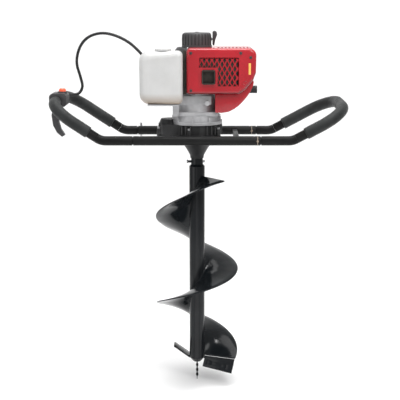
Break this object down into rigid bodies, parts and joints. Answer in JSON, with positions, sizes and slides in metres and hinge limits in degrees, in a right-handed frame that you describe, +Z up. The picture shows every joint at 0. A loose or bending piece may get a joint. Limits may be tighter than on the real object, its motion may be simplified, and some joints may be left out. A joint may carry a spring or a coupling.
{
  "type": "engine-driven earth and ice auger",
  "caption": "Hand-held engine auger: helical bit and cutters under a geared petrol head, in a two-rail frame with foam-covered loop handles.",
  "frame": {"origin": "tip of the pilot point, on the drive axis", "axes": "+Z up the drive axis, +X toward the plain right grip, +Y to the rear, away from the fuel tank"},
  "size_m": [0.7113, 0.223, 0.875],
  "materials": {
    "frame_paint": "semi-gloss",
    "foam": "satin foam",
    "case_paint": "satin",
    "steel": "machined",
    "alloy": "cast",
    "shroud_red": "glossy",
    "dark_plastic": "moulded",
    "black_rubber": "satin",
    "muffler_steel": "heat stained",
    "tank_white": "translucent",
    "bit_paint": "glossy",
    "button_orange": "glossy",
    "rope_cord": "braided"
  },
  "bodies": {
    "head": {"front_rail": "frame_paint", "rear_rail": "frame_paint", "cross_bar": "frame_paint", "carrier_plate": "frame_paint", "right_handle_tube": "frame_paint", "left_handle_tube": "frame_paint", "right_grip": "foam", "left_grip": "foam", "handle_pins": "steel", "gearbox_upper": "case_paint", "gearbox_lower": "case_paint", "gearbox_bolts": "steel", "bearings": "steel", "clutch_housing": "alloy", "crankcase": "alloy", "cylinder_barrel": "alloy", "spark_plug": "steel", "plug_boot": "black_rubber", "muffler": "muffler_steel", "exhaust_outlet": "muffler_steel", "outlet_collar": "shroud_red", "shroud": "shroud_red", "mesh_grille": "shroud_red", "lower_duct": "shroud_red", "fan_cover": "dark_plastic", "recoil_housing": "dark_plastic", "carburettor": "alloy", "air_cleaner": "dark_plastic", "fuel_tank": "tank_white", "tank_bracket": "alloy", "fuel_line": "black_rubber", "throttle_housing": "dark_plastic", "throttle_cable": "black_rubber"},
    "bit": {"output_gear": "steel", "output_shaft": "steel", "bit_tube": "bit_paint", "bit_flight": "bit_paint", "main_cutter": "bit_paint", "second_cutter": "bit_paint", "cutter_bolts": "steel", "pilot_point": "bit_paint", "bit_pin": "steel"},
    "layshaft": {"countershaft": "steel"},
    "drum": {"clutch_drum": "steel"},
    "crank": {"crankshaft": "steel", "flywheel": "alloy", "clutch_rotor": "steel"},
    "piston_body": {"piston": "alloy"},
    "pulley": {"recoil_pulley": "dark_plastic", "starter_rope": "rope_cord"},
    "pull": {"starter_handle": "dark_plastic"},
    "trigger": {"throttle_lever": "dark_plastic"},
    "stop": {"stop_button": "button_orange"},
    "choke": {"choke_lever": "dark_plastic"},
    "cap": {"fuel_cap": "tank_white"}
  },
  "joints": [
    {"name": "bit_spin", "type": "hinge", "parent": "head", "child": "bit", "pos_m": [0, 0, 0.6], "axis": [0, 0, 1], "continuous": true},
    {"name": "layshaft_spin", "type": "hinge", "parent": "head", "child": "layshaft", "pos_m": [-0.05, 0, 0.63], "axis": [0, 0, 1], "continuous": true},
    {"name": "drum_spin", "type": "hinge", "parent": "head", "child": "drum", "pos_m": [0, 0, 0.65], "axis": [0, 0, 1], "continuous": true},
    {"name": "crank_spin", "type": "hinge", "parent": "head", "child": "crank", "pos_m": [0, 0, 0.74], "axis": [0, 0, 1], "continuous": true},
    {"name": "piston_slide", "type": "slide", "parent": "head", "child": "piston_body", "axis": [1, 0, 0], "range_m": [-0.028, 0]},
    {"name": "pulley_spin", "type": "hinge", "parent": "head", "child": "pulley", "pos_m": [0, 0, 0.855], "axis": [0, 0, 1], "range_deg": [0, 1800]},
    {"name": "starter_pull", "type": "slide", "parent": "head", "child": "pull", "axis": [1, 0, 0], "range_m": [0, 0.6], "stiffness_N_per_m": 25, "springref_m": -0.1},
    {"name": "throttle_squeeze", "type": "hinge", "parent": "head", "child": "trigger", "pos_m": [-0.3409, 0, 0.68814], "axis": [0, -1, 0], "range_deg": [0, 20], "stiffness_Nm_per_rad": 0.6, "springref_deg": -11.46},
    {"name": "stop_press", "type": "slide", "parent": "head", "child": "stop", "axis": [0, 0, -1], "range_m": [0, 0.003], "stiffness_N_per_m": 400, "springref_m": -0.004},
    {"name": "choke_turn", "type": "hinge", "parent": "head", "child": "choke", "pos_m": [-0.09, 0.018, 0.748], "axis": [0, 1, 0], "range_deg": [0, 45]},
    {"name": "cap_turn", "type": "hinge", "parent": "head", "child": "cap", "pos_m": [-0.078, -0.076, 0.834], "axis": [0, 0, 1], "range_deg": [0, 540]}
  ],
  "couplings": [
    {"joint": "layshaft_spin", "follows": "bit_spin", "ratio": -3.2857},
    {"joint": "drum_spin", "follows": "bit_spin", "ratio": 10.796},
    {"joint": "pulley_spin", "follows": "starter_pull", "rad_per_m": 50}
  ]
}
